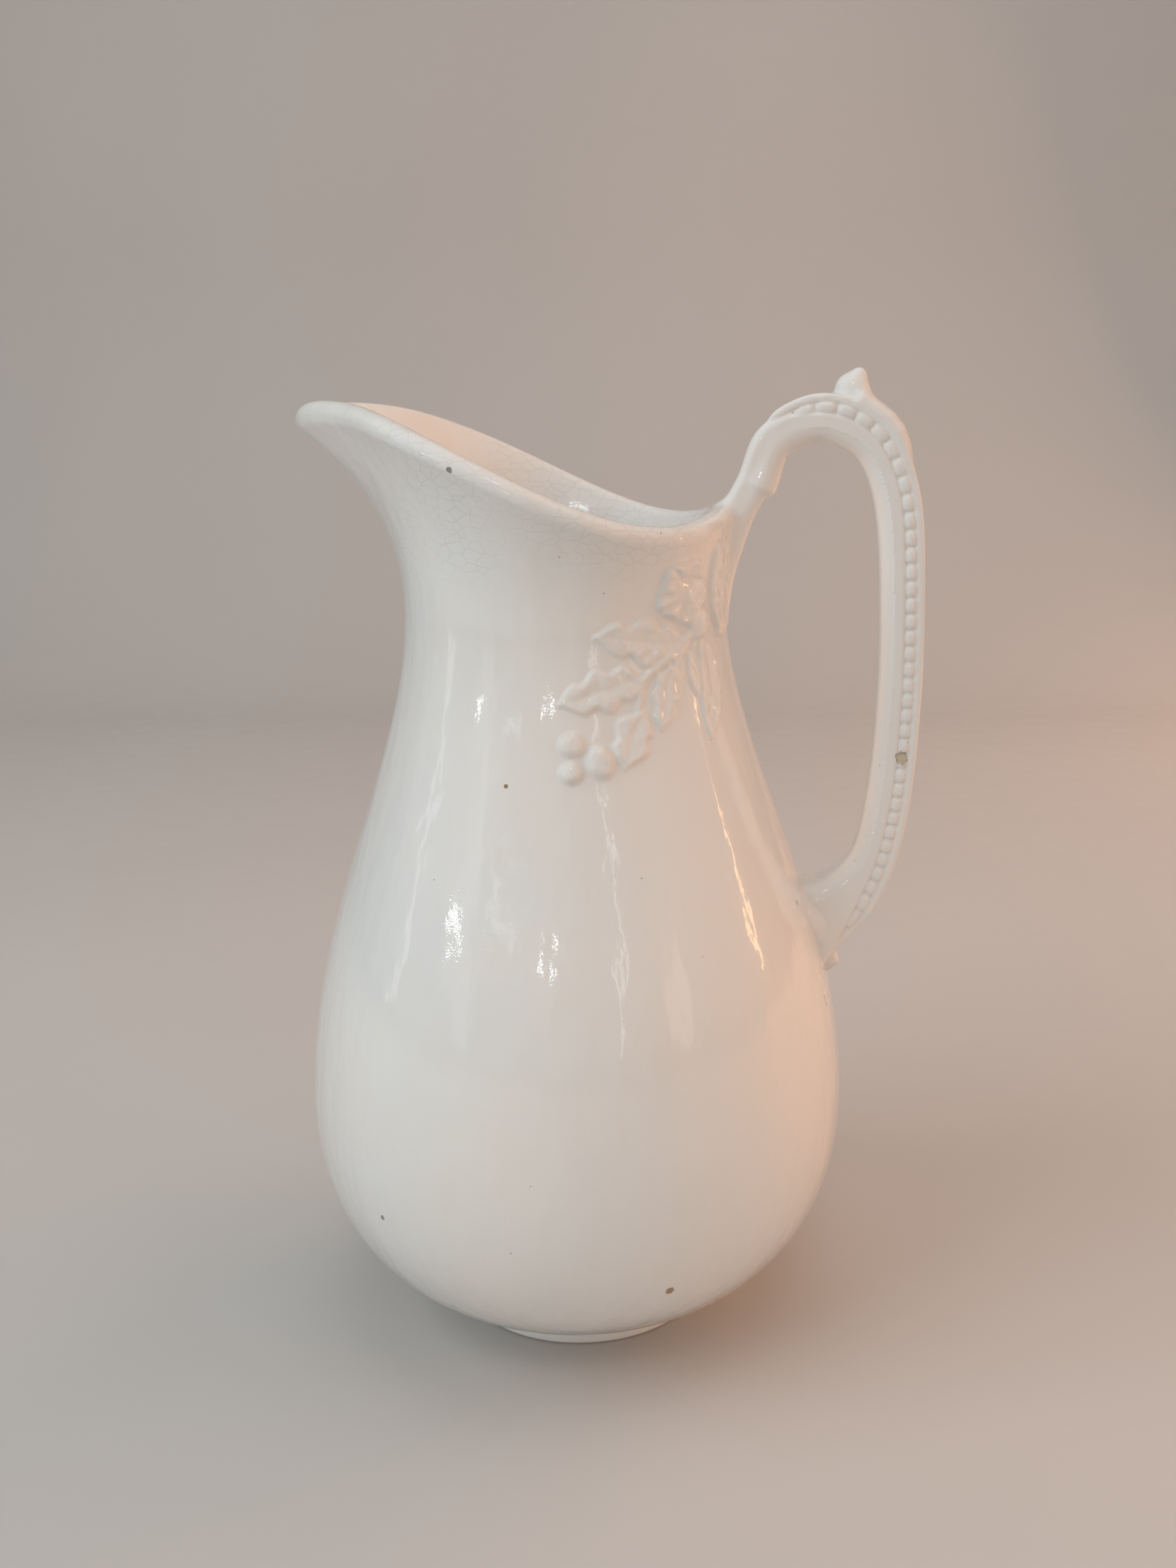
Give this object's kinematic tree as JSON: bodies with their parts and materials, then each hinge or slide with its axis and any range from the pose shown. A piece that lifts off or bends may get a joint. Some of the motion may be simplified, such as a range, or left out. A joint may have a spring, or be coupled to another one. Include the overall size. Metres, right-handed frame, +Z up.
{
  "type": "ceramic pitcher",
  "caption": "Pear-shaped white ironstone water pitcher with a flared pouring lip, an arched strap handle with beaded sides and a moulded flower spray at the handle root.",
  "frame": {"origin": "centre of the foot ring on the surface it stands on", "axes": "+Z up along the body's axis, +X towards the handle, -X towards the spout, +Y to the right side as the person who pours sees it"},
  "size_m": [0.185, 0.1638, 0.2841],
  "materials": {
    "body_glaze": "clear gloss glaze over white ironstone, with fine crazing and a few iron specks",
    "foot_glaze": "gloss glaze, worn to a slightly grey unglazed edge where the foot rests",
    "handle_glaze": "clear gloss glaze pooled between the beads",
    "relief_glaze": "clear gloss glaze pooled round the leaves"
  },
  "bodies": {
    "root": {"body_shell": "body_glaze", "foot_ring": "foot_glaze", "handle_strap": "handle_glaze", "handle_back_band": "handle_glaze", "thumb_spur": "handle_glaze", "upper_calyx": "handle_glaze", "lower_terminal": "handle_glaze", "bead_row_left": "handle_glaze", "bead_row_right": "handle_glaze", "flower_left": "relief_glaze", "flower_right": "relief_glaze", "spray_tie_left": "relief_glaze", "spray_tie_right": "relief_glaze", "spray_stems_left": "relief_glaze", "spray_stems_right": "relief_glaze", "root_leaf_left": "relief_glaze", "root_leaf_right": "relief_glaze", "lobed_leaves_left": "relief_glaze", "lobed_leaves_right": "relief_glaze", "pointed_leaf_left": "relief_glaze", "pointed_leaf_right": "relief_glaze", "buds_left": "relief_glaze", "buds_right": "relief_glaze"}
  },
  "joints": []
}
